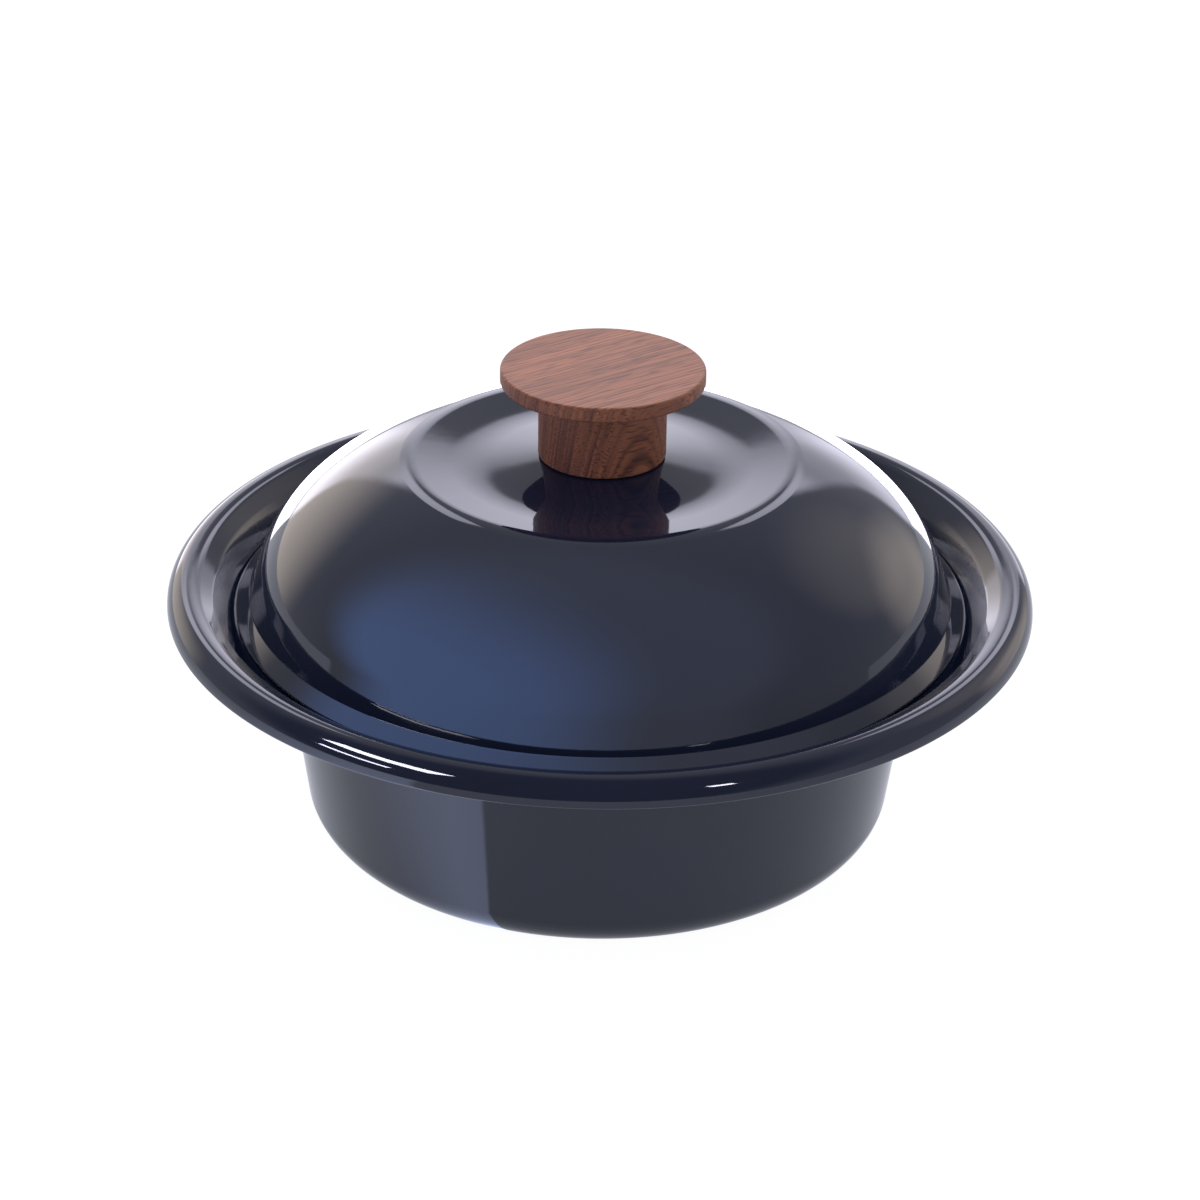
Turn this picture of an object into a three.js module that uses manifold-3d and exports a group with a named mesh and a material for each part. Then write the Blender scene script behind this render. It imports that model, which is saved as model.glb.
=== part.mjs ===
// Enamelled steel table pot with a domed lid and a turned wooden knob.
// Millimetres, +Z up. The origin is the centre of the flat base, on the table.

import * as THREE from 'three';
import { mergeVertices } from 'three/addons/utils/BufferGeometryUtils.js';
import Module from 'manifold-3d';

// Enamelled sheet, finished thickness with the enamel on both faces
const SHEET = 1.6;

// Lid: an elliptical dome with a dished crown, a straight skirt below it and a sloping flange
const LID_DIAMETER = 236.4;
const FLANGE_WIDTH = 6.5;
const FLANGE_SLOPE = 42;
const FLANGE_BEND = 2;
const SKIRT_LEAN = 20;
const DOME_ABOVE_EDGE = 4.9;
const DOME_RISE = 54.6;
const CROWN_RING_DIAMETER = 123;
const CROWN_RING_BEND = 12;
const CROWN_VALLEY_DIAMETER = 84;
const CROWN_VALLEY_DEPTH = 2.9;
const CROWN_VALLEY_BEND = 60;
const BOSS_ABOVE_RING = 0.7;
const BOSS_INSET = 1;
const BOSS_BEND = 25;

// Pot: tapered wall, ledge for the lid, bank round the ledge and a half-round brim
const LEDGE_HEIGHT = 74.3;
const LEDGE_COVER = 7.8;
const WALL_TAPER = 7.5;
const BASE_BEND = 11.5;
const MOUTH_BEND = 3.5;
const LID_SIDE_PLAY = 1;
const LEDGE_BEND = 2;
const BANK_RUN = 6.4;
const BANK_RISE = 7.5;
const BANK_BEND = 5;
const BRIM_WIDTH = 14.4;
const BRIM_SLOPE = 36;
const BRIM_BEND = 7;
const BRIM_TURN = 134;

// Knob: one turned piece, a thin disc on a stout stem
const DISC_DIAMETER = 65;
const DISC_THICKNESS = 5;
const DISC_EDGE = 1;
const STEM_DIAMETER = 40.8;
const STEM_HEIGHT = 24.5;
const STEM_EDGE = 0.6;

// Fixing of the knob: one machine screw from inside the lid into a threaded insert
const SCREW_DIAMETER = 5;
const SCREW_LENGTH = 20;
const SCREW_TIP = 0.6;
const HEAD_DIAMETER = 10;
const HEAD_HEIGHT = 3.4;
const HEAD_EDGE = 1.8;
const CROSS_LENGTH = 5.2;
const CROSS_WIDTH = 1.3;
const CROSS_DEPTH = 1.8;
const LID_HOLE_DIAMETER = 6.4;
const INSERT_DIAMETER = 10;
const INSERT_LENGTH = 14;
const INSERT_FLANGE = 1.4;
const INSERT_FLANGE_THICKNESS = 1;
const GASKET_DIAMETER = 30;
const GASKET_THICKNESS = 1.2;
const SEAL_DIAMETER = 16;
const SEAL_THICKNESS = 1.2;
const WASHER_DIAMETER = 14;
const WASHER_THICKNESS = 1;

// Clearances
const FACE_GAP = 0.3;
const SCREW_CLEARANCE = 0.3;
const SOFT_HOLE_CLEARANCE = 0.6;

// Facets
const ROUND_STEPS = 48;
const FIXING_STEPS = 24;
const ARC_STEP = 27;
const DOME_STEPS = 8;

const DEGREE = THREE.MathUtils.DEG2RAD;
const HALF_SHEET = SHEET / 2;

// Heights and radii that follow from the sizes above, from the ledge upwards
const lidRadius = LID_DIAMETER / 2;
const domeRadius = lidRadius - FLANGE_WIDTH;
const domeMiddle = domeRadius - HALF_SHEET;
const edgeLevel = LEDGE_HEIGHT + FACE_GAP + HALF_SHEET;
const domeLevel = edgeLevel + DOME_ABOVE_EDGE;
const crownRingRadius = CROWN_RING_DIAMETER / 2;
const crownLevel = domeHeightAt(crownRingRadius) + BOSS_ABOVE_RING;
const crownTop = crownLevel + HALF_SHEET;
const crownUnderside = crownLevel - HALF_SHEET;
const stemBottom = crownTop + FACE_GAP;
const discBottom = stemBottom + STEM_HEIGHT;
const knobTop = discBottom + DISC_THICKNESS;
const gasketBottom = crownTop + FACE_GAP;
const pocketCeiling = gasketBottom + GASKET_THICKNESS + FACE_GAP;
const insertBottom = pocketCeiling + FACE_GAP;
const sealBottom = crownUnderside - FACE_GAP - SEAL_THICKNESS;
const washerBottom = sealBottom - FACE_GAP - WASHER_THICKNESS;
const headTop = washerBottom - FACE_GAP;
const screwTip = headTop + SCREW_LENGTH;
const screwHoleRadius = SCREW_DIAMETER / 2 + SCREW_CLEARANCE;
const softHoleRadius = SCREW_DIAMETER / 2 + SOFT_HOLE_CLEARANCE;

// Height of the middle of the sheet on the dome's ellipse
function domeHeightAt(radius) {
  const fraction = radius / domeMiddle;
  return domeLevel + (DOME_RISE - HALF_SHEET) * Math.sqrt(1 - fraction * fraction);
}

// A corner of a section, in radius and height, with the radius of its rounding
function corner(radius, height, bend = 0) {
  return { at: new THREE.Vector2(radius, height), bend };
}

// The points of an arc that starts at a point and turns round a centre, angles in degrees
function arcPoints(start, centre, turn) {
  const steps = Math.max(2, Math.ceil(Math.abs(turn) / ARC_STEP));
  const points = [];
  for (let step = 0; step <= steps; step += 1) {
    points.push(start.clone().rotateAround(centre, (turn * DEGREE * step) / steps));
  }
  return points;
}

// The arc that rounds the corner between two straight runs
function bendPoints(before, at, after, bend) {
  const into = at.clone().sub(before).normalize();
  const out = after.clone().sub(at).normalize();
  const turn = Math.atan2(into.cross(out), into.dot(out));
  const start = at.clone().addScaledVector(into, -bend * Math.tan(Math.abs(turn) / 2));
  const inward = new THREE.Vector2(-into.y, into.x).multiplyScalar(Math.sign(turn) * bend);
  return arcPoints(start, start.clone().add(inward), turn / DEGREE);
}

// A run of corners as points, with every bend as an arc
function roundedRun(corners) {
  return corners.flatMap(({ at, bend }, index) => {
    if (bend === 0) {
      return [at];
    }
    return bendPoints(corners[index - 1].at, at, corners[index + 1].at, bend);
  });
}

// The line through the middle of a sheet, moved to one side by half the thickness
function sheetSide(middle, side) {
  return middle.map((point, index) => {
    const before = middle[Math.max(index - 1, 0)];
    const after = middle[Math.min(index + 1, middle.length - 1)];
    const into = point.clone().sub(before).normalize();
    const out = after.clone().sub(point).normalize();
    const along = into.add(out).normalize();
    const across = new THREE.Vector2(-along.y, along.x);
    return point.clone().addScaledVector(across, side * HALF_SHEET);
  });
}

// The section of a sheet, with its last edge rounded over
function sheetSection(middle) {
  const under = sheetSide(middle, -1);
  const upper = sheetSide(middle, 1);
  const edge = arcPoints(under.at(-1), middle.at(-1), 180).slice(1, -1);
  return [...under, ...edge, ...upper.reverse()];
}

// A turned body from its section in radius and height, listed anticlockwise
function turned(section, steps) {
  const geometry = new THREE.LatheGeometry(section, steps);
  geometry.rotateX(Math.PI / 2);
  return geometry;
}

// A turned ring with a plain rectangular section
function ring(innerRadius, outerRadius, bottom, top, steps) {
  const section = [
    new THREE.Vector2(innerRadius, bottom),
    new THREE.Vector2(outerRadius, bottom),
    new THREE.Vector2(outerRadius, top),
    new THREE.Vector2(innerRadius, top),
    new THREE.Vector2(innerRadius, bottom),
  ];
  return turned(section, steps);
}

// The pot: base, tapered wall, ledge, bank and the brim bent over and down
function potGeometry() {
  const ledgeLevel = LEDGE_HEIGHT - HALF_SHEET;
  const mouthRadius = domeRadius - LEDGE_COVER;
  const baseRadius = mouthRadius - (ledgeLevel - HALF_SHEET) * Math.tan(WALL_TAPER * DEGREE);
  const ledgeRadius = lidRadius + LID_SIDE_PLAY;
  const bankRadius = ledgeRadius + BANK_RUN;
  const bankLevel = ledgeLevel + BANK_RISE;
  const slope = BRIM_SLOPE * DEGREE;
  const bend = BRIM_BEND - HALF_SHEET;
  const centreRadius = bankRadius + BRIM_WIDTH - BRIM_BEND;
  const startRadius = centreRadius - bend * Math.sin(slope);
  const startLevel = bankLevel + (startRadius - bankRadius) * Math.tan(slope);
  const brimStart = corner(startRadius, startLevel);
  const brimCentre = new THREE.Vector2(centreRadius, startLevel - bend * Math.cos(slope));
  const plate = roundedRun([
    corner(0, HALF_SHEET),
    corner(baseRadius, HALF_SHEET, BASE_BEND),
    corner(mouthRadius, ledgeLevel, MOUTH_BEND),
    corner(ledgeRadius, ledgeLevel, LEDGE_BEND),
    corner(bankRadius, bankLevel, BANK_BEND),
    brimStart,
  ]);
  const brim = arcPoints(brimStart.at, brimCentre, -BRIM_TURN);
  return turned(sheetSection([...plate, ...brim.slice(1)]), ROUND_STEPS);
}

// The lid: boss for the knob, dished crown, dome, skirt and flange
function lidGeometry() {
  const bossRadius = STEM_DIAMETER / 2 - BOSS_INSET;
  const valleyRadius = CROWN_VALLEY_DIAMETER / 2;
  const lean = Math.tan(SKIRT_LEAN * DEGREE);
  const startAngle = Math.acos(crownRingRadius / domeMiddle);
  const endAngle = Math.atan((lean * (DOME_RISE - HALF_SHEET)) / domeMiddle);
  const dome = [];
  for (let step = 1; step <= DOME_STEPS; step += 1) {
    const angle = startAngle + ((endAngle - startAngle) * step) / DOME_STEPS;
    const radius = domeMiddle * Math.cos(angle);
    dome.push(corner(radius, domeHeightAt(radius)));
  }
  // The skirt carries on the slope of the dome until it meets the flange
  const skirtTop = dome.at(-1).at;
  const edge = new THREE.Vector2(lidRadius - HALF_SHEET, edgeLevel);
  const run = 1 / Math.tan(FLANGE_SLOPE * DEGREE);
  const reach = edge.x + edge.y * run - skirtTop.x - skirtTop.y * lean;
  const flangeLevel = reach / (run - lean);
  const flangeRadius = edge.x - (flangeLevel - edge.y) * run;
  const middle = roundedRun([
    corner(LID_HOLE_DIAMETER / 2, crownLevel),
    corner(bossRadius, crownLevel, BOSS_BEND),
    corner(valleyRadius, crownLevel - CROWN_VALLEY_DEPTH, CROWN_VALLEY_BEND),
    corner(crownRingRadius, domeHeightAt(crownRingRadius), CROWN_RING_BEND),
    ...dome,
    corner(flangeRadius, flangeLevel, FLANGE_BEND),
    corner(edge.x, edge.y),
  ]);
  const section = sheetSection(middle);
  return turned([...section, section[0]], ROUND_STEPS);
}

// The knob: disc and stem, with a pocket for the gasket and a blind hole for the insert
function knobGeometry() {
  const discRadius = DISC_DIAMETER / 2;
  const stemRadius = STEM_DIAMETER / 2;
  const pocketRadius = GASKET_DIAMETER / 2 + FACE_GAP;
  const holeRadius = INSERT_DIAMETER / 2 + FACE_GAP;
  const flangeRadius = holeRadius + INSERT_FLANGE;
  const flangeTop = insertBottom + INSERT_FLANGE_THICKNESS + FACE_GAP;
  const holeTop = Math.max(insertBottom + INSERT_LENGTH, screwTip) + FACE_GAP;
  const section = roundedRun([
    corner(0, holeTop),
    corner(holeRadius, holeTop),
    corner(holeRadius, flangeTop),
    corner(flangeRadius, flangeTop),
    corner(flangeRadius, pocketCeiling),
    corner(pocketRadius, pocketCeiling),
    corner(pocketRadius, stemBottom),
    corner(stemRadius, stemBottom, STEM_EDGE),
    corner(stemRadius, discBottom),
    corner(discRadius, discBottom, DISC_EDGE),
    corner(discRadius, knobTop, DISC_EDGE),
    corner(0, knobTop),
  ]);
  return turned(section, ROUND_STEPS);
}

// The insert: a flanged sleeve, its thread shown as a plain bore
function insertGeometry() {
  const sleeveRadius = INSERT_DIAMETER / 2;
  const flangeTop = insertBottom + INSERT_FLANGE_THICKNESS;
  const top = insertBottom + INSERT_LENGTH;
  const section = [
    new THREE.Vector2(screwHoleRadius, insertBottom),
    new THREE.Vector2(sleeveRadius + INSERT_FLANGE, insertBottom),
    new THREE.Vector2(sleeveRadius + INSERT_FLANGE, flangeTop),
    new THREE.Vector2(sleeveRadius, flangeTop),
    new THREE.Vector2(sleeveRadius, top),
    new THREE.Vector2(screwHoleRadius, top),
    new THREE.Vector2(screwHoleRadius, insertBottom),
  ];
  return turned(section, FIXING_STEPS);
}

const wasm = await Module();
wasm.setup();

// A closed geometry as a solid that can be cut
function toSolid(geometry) {
  const bare = geometry.clone();
  bare.deleteAttribute('normal');
  bare.deleteAttribute('uv');
  const merged = mergeVertices(bare);
  const vertProperties = new Float32Array(merged.attributes.position.array);
  const triVerts = new Uint32Array(merged.index.array);
  return new wasm.Manifold(new wasm.Mesh({ numProp: 3, vertProperties, triVerts }));
}

// A cut solid as a geometry again
function toGeometry(solid) {
  const mesh = solid.getMesh();
  const geometry = new THREE.BufferGeometry();
  geometry.setAttribute('position', new THREE.BufferAttribute(mesh.vertProperties, 3));
  geometry.setIndex(new THREE.BufferAttribute(mesh.triVerts, 1));
  geometry.computeVertexNormals();
  return geometry;
}

// The screw: pan head downwards, with a cross recess, and a plain shank
function screwGeometry() {
  const headBottom = headTop - HEAD_HEIGHT;
  const shankRadius = SCREW_DIAMETER / 2;
  const section = roundedRun([
    corner(0, headBottom),
    corner(HEAD_DIAMETER / 2, headBottom, HEAD_EDGE),
    corner(HEAD_DIAMETER / 2, headTop),
    corner(shankRadius, headTop),
    corner(shankRadius, screwTip - SCREW_TIP),
    corner(shankRadius - SCREW_TIP, screwTip),
    corner(0, screwTip),
  ]);
  let solid = toSolid(turned(section, FIXING_STEPS));
  for (const quarter of [0, 1]) {
    const slot = new THREE.BoxGeometry(CROSS_LENGTH, CROSS_WIDTH, 2 * CROSS_DEPTH);
    slot.rotateZ((quarter * Math.PI) / 2);
    slot.translate(0, 0, headBottom);
    solid = solid.subtract(toSolid(slot));
  }
  return toGeometry(solid);
}

// Finishes
const enamel = { color: 0x191e2d, roughness: 0.08, metalness: 0 };
const wood = { color: 0x8a5a4a, roughness: 0.6, metalness: 0 };
const silicone = { color: 0x3a3c3e, roughness: 0.75, metalness: 0 };
const brass = { color: 0xb5974e, roughness: 0.35, metalness: 1 };
const stainless = { color: 0xb8bcc0, roughness: 0.3, metalness: 1 };

const pot = new THREE.Group();

function addPiece(name, geometry, finish) {
  const piece = new THREE.Mesh(geometry, new THREE.MeshStandardMaterial(finish));
  piece.name = name;
  pot.add(piece);
}

addPiece('pot_body', potGeometry(), enamel);
addPiece('lid_shell', lidGeometry(), enamel);
addPiece('knob', knobGeometry(), wood);
addPiece('knob_insert', insertGeometry(), brass);
addPiece('knob_screw', screwGeometry(), stainless);

const gasketTop = gasketBottom + GASKET_THICKNESS;
const gasket = ring(softHoleRadius, GASKET_DIAMETER / 2, gasketBottom, gasketTop, FIXING_STEPS);
addPiece('knob_gasket', gasket, silicone);

const sealTop = sealBottom + SEAL_THICKNESS;
const seal = ring(softHoleRadius, SEAL_DIAMETER / 2, sealBottom, sealTop, FIXING_STEPS);
addPiece('screw_seal', seal, silicone);

const washerTop = washerBottom + WASHER_THICKNESS;
const washer = ring(screwHoleRadius, WASHER_DIAMETER / 2, washerBottom, washerTop, FIXING_STEPS);
addPiece('screw_washer', washer, stainless);

export default pot;
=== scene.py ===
"""Looks of an enamelled steel table pot with a domed lid and a turned wooden knob.

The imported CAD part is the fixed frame. Each of its pieces is modelled again here with finer curves, edges
and finishes, at the place and size that the frame gives. Blender's units are metres; sizes are written in
millimetres and converted by mm().
"""

import math

import bmesh
import bpy
from mathutils import Matrix, Vector


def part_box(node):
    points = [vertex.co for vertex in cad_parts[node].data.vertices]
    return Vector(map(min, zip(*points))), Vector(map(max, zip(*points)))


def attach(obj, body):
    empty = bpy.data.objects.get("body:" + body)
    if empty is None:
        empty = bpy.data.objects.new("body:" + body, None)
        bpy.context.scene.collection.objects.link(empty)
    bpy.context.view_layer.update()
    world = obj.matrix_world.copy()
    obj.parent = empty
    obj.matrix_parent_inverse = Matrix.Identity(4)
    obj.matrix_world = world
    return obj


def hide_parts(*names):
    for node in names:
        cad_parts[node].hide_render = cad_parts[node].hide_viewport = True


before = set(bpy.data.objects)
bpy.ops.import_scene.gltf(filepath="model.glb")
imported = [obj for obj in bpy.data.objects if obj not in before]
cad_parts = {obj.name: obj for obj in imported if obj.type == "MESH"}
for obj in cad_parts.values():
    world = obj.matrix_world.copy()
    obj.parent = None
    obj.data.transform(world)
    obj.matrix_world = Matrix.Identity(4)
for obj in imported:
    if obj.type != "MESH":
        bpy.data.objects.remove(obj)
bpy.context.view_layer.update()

bl_info = {
    "name": "Enamel Pot",
    "version": (1, 0, 0),
    "blender": (4, 5, 0),
    "location": "View3D > Sidebar > Enamel Pot",
    "description": "Builds an enamelled table pot with a lift-off lid and a wooden knob around its CAD part",
    "category": "Object",
}

# Fineness of the turned pieces
ROUND_STEPS = 256
FIXING_ROUND_STEPS = 96
ARC_STEP = math.radians(9)
ARC_RUN = 0.0018
MERGE_DISTANCE = 1e-6
SHARP_ANGLE = math.radians(38)
EDGE_SEGMENTS = 4
EDGE_ANGLE = math.radians(60)
EDGE_SHARE = 0.42

# Narrowing of the cross recess towards its bottom, in length, width and depth
CROSS_TAPER = (0.55, 0.7, 1)

# Units in which a wave texture of scale 1 repeats
WAVE_PERIOD = 0.314

# Camera, with its place and turn fitted to the outlines of the pot in the photograph
CAMERA_PLACE = (0, -0.9606, 0.5680)
CAMERA_PITCH = 0.47505
CAMERA_ROLL = 0.01388
SENSOR_WIDTH = 36

# Stage
FLOOR_RADIUS = 4
FLOOR_WHITE = 0.96
FLOOR_SHADE = (0.18, 0.18, 0.18, 1)
PAINTED_REFLECTOR_RADIUS = 3.5
WHITE = (1, 1, 1, 1)

# Sockets of the colour Mix node, which shares its socket names between data types
MIX_FACTOR = 0
MIX_A = 6
MIX_B = 7
MIX_RESULT = 2

POT_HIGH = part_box("pot_body")[1]
LID_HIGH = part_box("lid_shell")[1]
KNOB_LOW, KNOB_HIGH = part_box("knob")
INSERT_LOW, INSERT_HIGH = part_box("knob_insert")
SCREW_LOW, SCREW_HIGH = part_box("knob_screw")


def mm(value):
    """Millimetres in Blender's metres."""
    return value / 1000


def linear(code):
    """Linear red, green, blue and alpha of an sRGB hex colour such as #19202f."""
    channels = [int(code[start:start + 2], 16) / 255 for start in (1, 3, 5)]
    curve = [c / 12.92 if c <= 0.04045 else ((c + 0.055) / 1.055) ** 2.4 for c in channels]
    return (*curve, 1.0)


def length(name, description, metres):
    """A property that holds a length."""
    return bpy.props.FloatProperty(
        name=name,
        description=description,
        default=metres,
        min=0,
        precision=5,
        unit="LENGTH",
        subtype="DISTANCE",
    )


def angle(name, description, degrees):
    """A property that holds an angle."""
    return bpy.props.FloatProperty(
        name=name, description=description, default=math.radians(degrees), unit="ROTATION", subtype="ANGLE"
    )


def colour(name, description, code):
    """A property that holds a colour, given as an sRGB hex value."""
    return bpy.props.FloatVectorProperty(
        name=name, description=description, default=linear(code), size=4, min=0, max=1, subtype="COLOR"
    )


def amount(name, description, value):
    """A property that holds a plain number."""
    return bpy.props.FloatProperty(name=name, description=description, default=value, min=0)


class PotSizes(bpy.types.PropertyGroup):
    """Sizes of the pressed pot. Radii and heights are those of the middle of the sheet."""

    sheet: length("Sheet", "Thickness of the steel with its enamel", mm(1.6))
    outer_radius: length("Outer radius", "Radius over the brim", POT_HIGH.x)
    ledge_height: length("Ledge height", "Height of the ledge that carries the lid", mm(73.5))
    mouth_radius: length("Mouth radius", "Radius where the wall meets the ledge", mm(103.9))
    wall_taper: angle("Wall taper", "Lean of the wall from upright", 7.5)
    base_bend: length("Base bend", "Radius of the bend from base to wall", mm(11.5))
    mouth_bend: length("Mouth bend", "Radius of the bend from wall to ledge", mm(3.5))
    ledge_radius: length("Ledge radius", "Radius where the ledge meets the bank", mm(119.2))
    ledge_bend: length("Ledge bend", "Radius of the bend from ledge to bank", mm(2))
    bank_run: length("Bank run", "How far the bank outside the ledge leans outwards", mm(6.4))
    bank_rise: length("Bank rise", "Height of the bank outside the ledge", mm(7.5))
    bank_bend: length("Bank bend", "Radius of the bend from bank to brim", mm(5))
    brim_slope: angle("Brim slope", "Rise of the inner side of the brim", 36)
    brim_bend: length("Brim bend", "Radius of the half-round brim", mm(6.2))
    brim_turn: angle("Brim turn", "How far the brim is bent over", 134)


class LidSizes(bpy.types.PropertyGroup):
    """Sizes of the pressed lid. Radii and heights are those of the middle of the sheet."""

    sheet: length("Sheet", "Thickness of the steel with its enamel", mm(1.6))
    edge_radius: length("Edge radius", "Radius over the flange", LID_HIGH.x)
    flange_radius: length("Flange radius", "Radius where the skirt meets the flange", mm(112.93))
    flange_slope: angle("Flange slope", "Fall of the flange towards its edge", 42)
    flange_bend: length("Flange bend", "Radius of the bend from skirt to flange", mm(2))
    skirt_lean: angle("Skirt lean", "Lean of the straight skirt below the dome from upright", 20)
    dome_radius: length("Dome radius", "Half width of the ellipse that the dome follows", mm(110.9))
    dome_rise: length("Dome rise", "Half height of the ellipse that the dome follows", mm(53.8))
    dome_height: length("Dome height", "Height of the middle of that ellipse", mm(80.3))
    ring_radius: length("Ring radius", "Radius of the ridge round the crown", mm(61.5))
    ring_bend: length("Ring bend", "Radius of the ridge round the crown", mm(12))
    valley_radius: length("Valley radius", "Radius of the lowest line of the crown", mm(42))
    valley_depth: length("Valley depth", "Depth of the crown below its boss", mm(2.9))
    valley_bend: length("Valley bend", "Radius of the hollow of the crown", mm(60))
    boss_radius: length("Boss radius", "Radius of the flat that carries the knob", mm(19.4))
    boss_bend: length("Boss bend", "Radius of the edge of the boss", mm(25))
    boss_above_ring: length("Boss above ring", "Height of the boss over the ridge", mm(0.7))
    hole_radius: length("Hole radius", "Radius of the hole for the screw", mm(3.2))


class KnobSizes(bpy.types.PropertyGroup):
    """Sizes of the turned knob."""

    disc_radius: length("Disc radius", "Radius of the disc", KNOB_HIGH.x)
    disc_thickness: length("Disc thickness", "Thickness of the disc", mm(5))
    disc_edge: length("Disc edge", "Rounding of both edges of the disc", mm(0.9))
    stem_radius: length("Stem radius", "Radius of the stem", mm(20.4))
    stem_edge: length("Stem edge", "Rounding of the lower edge of the stem", mm(0.6))
    stem_fillet: length("Stem fillet", "Radius of the tool mark between stem and disc", mm(0.5))
    pocket_radius: length("Pocket radius", "Radius of the pocket for the gasket", mm(15.3))
    pocket_depth: length("Pocket depth", "Depth of the pocket for the gasket", mm(1.5))
    hole_radius: length("Hole radius", "Radius of the hole for the insert", mm(5.3))
    hole_depth: length("Hole depth", "Depth of the hole, from the foot of the stem", mm(16.1))
    collar_radius: length("Collar radius", "Radius of the sink for the flange of the insert", mm(6.7))
    collar_depth: length("Collar depth", "Depth of that sink below the pocket", mm(1.6))


class FixingSizes(bpy.types.PropertyGroup):
    """Sizes of the screw that holds the knob, of its insert and of its rings."""

    shank_radius: length("Shank radius", "Radius of the shank of the screw", mm(2.5))
    tip_chamfer: length("Tip chamfer", "Chamfer at the tip of the screw", mm(0.6))
    head_height: length("Head height", "Height of the pan head", mm(3.4))
    head_edge: length("Head edge", "Rounding of the pan head", mm(1.8))
    cross_length: length("Cross length", "Length of each slot of the cross recess", mm(5.2))
    cross_width: length("Cross width", "Width of each slot of the cross recess", mm(1.3))
    cross_depth: length("Cross depth", "Depth of the cross recess", mm(1.8))
    insert_radius: length("Insert radius", "Radius of the sleeve of the insert", mm(5))
    insert_flange: length("Insert flange", "Thickness of the flange of the insert", mm(1))
    metal_bore: length("Metal bore", "Radius of the bore of insert and washer", mm(2.8))
    soft_bore: length("Soft bore", "Radius of the bore of gasket and seal", mm(3.1))
    broken_edge: length("Broken edge", "Rounding of the small edges", mm(0.15))


class Finishes(bpy.types.PropertyGroup):
    """Colours of the materials."""

    enamel: colour("Enamel", "Fired navy enamel", "#1a2137")
    enamel_thin: colour("Thin enamel", "Enamel where it ran thinner in the kiln", "#1e263f")
    wood_light: colour("Light wood", "Early wood between the growth lines", "#a9694b")
    wood_dark: colour("Dark wood", "Late wood in the growth lines", "#643a2e")
    wood_pore: colour("Wood pores", "Open pores", "#4a2c25")
    silicone: colour("Silicone", "Gasket and seal", "#3a3c3e")
    brass: colour("Brass", "Threaded insert", "#b5974e")
    stainless: colour("Stainless steel", "Screw and washer", "#b8bcc0")


class StageLook(bpy.types.PropertyGroup):
    """Floor, surroundings and lamps."""

    floor: colour("Floor", "Pale studio floor", "#e6e6e8")
    room: colour("Room", "Light of the studio walls", "#dcdce2")
    room_level: amount("Room level", "Strength of the light of the studio walls", 0.7)
    back_colour: colour("Back light", "Colour of the softbox behind the pot", "#e0dff2")
    back_width: angle("Back width", "Angle from the middle to each side of that softbox", 24.5)
    back_flare: angle("Back flare", "Angle by which that softbox is wider at its foot, on each side", 4.5)
    back_top: angle("Back top", "Elevation of the top edge of that softbox", 27.5)
    back_level: amount("Back level", "Brightness of that softbox", 1.2)
    wing_top: angle("Wing top", "Elevation of the top of its left and right parts", 45)
    wing_level: amount("Wing level", "Brightness added at the top of its left and right parts", 2.4)
    back_low: amount("Back low", "Brightness added at its lower left and right", 2.6)
    core_level: amount("Core level", "Brightness added in the middle of that softbox", 1.5)
    warm_colour: colour("Warm light", "Colour of the light at the sides", "#ffeedd")
    warm_level: amount("Warm level", "Brightness of the light at the right", 1.1)
    left_level: amount("Left level", "Brightness of the light at the left", 1.5)
    # Painted light of the dome over the camera: its fabric and a window's patch on it glow as emission, and
    # it is no lamp
    cloth: colour("Cloth", "Colour of the reflector over the camera", "#dde3fa")
    painted_cloth_level: amount("Cloth level", "Brightness of the reflector over the camera", 1.0)
    window: colour("Window", "Cool glow of a window on the reflector", "#6ca2ff")
    painted_window_level: amount("Window level", "Brightness of that glow", 3.3)
    sheet_level: amount("Sheet level", "Brightness of the lit sheet behind the pot", 4)
    strip_level: amount("Strip level", "Brightness of the small lamps that streak the brim", 30)
    # Painted light: a pool of daylight painted on the floor as emission, which reflections alone show
    daylight: colour("Daylight", "Daylight on the floor, as the wall mirrors it", "#b0bee8")
    painted_daylight_level: amount("Daylight level", "Brightness of that daylight", 0.25)
    painted_wedge_level: amount("Wedge level", "Brightness added to it in a wedge at the front left", 2.0)
    top_level: amount("Top level", "Brightness of the lamp over the knob", 3.0)
    floor_mirrored: amount("Mirrored floor", "Share of the white of the floor that reflections show", 0.45)
    focal_length: bpy.props.FloatProperty(
        name="Focal length",
        description="Lens of the camera in millimetres",
        default=99.39,
        min=1,
        subtype="UNSIGNED",
    )


class EnamelPot(bpy.types.PropertyGroup):
    """All settings of the pot."""

    pot: bpy.props.PointerProperty(type=PotSizes)
    lid: bpy.props.PointerProperty(type=LidSizes)
    knob: bpy.props.PointerProperty(type=KnobSizes)
    fixing: bpy.props.PointerProperty(type=FixingSizes)
    finishes: bpy.props.PointerProperty(type=Finishes)
    stage: bpy.props.PointerProperty(type=StageLook)


def new_object(name, shape):
    """Turns a finished bmesh into an object of the scene."""
    data = bpy.data.meshes.new(name)
    shape.to_mesh(data)
    shape.free()
    made = bpy.data.objects.new(name, data)
    bpy.context.scene.collection.objects.link(made)
    return made


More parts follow.
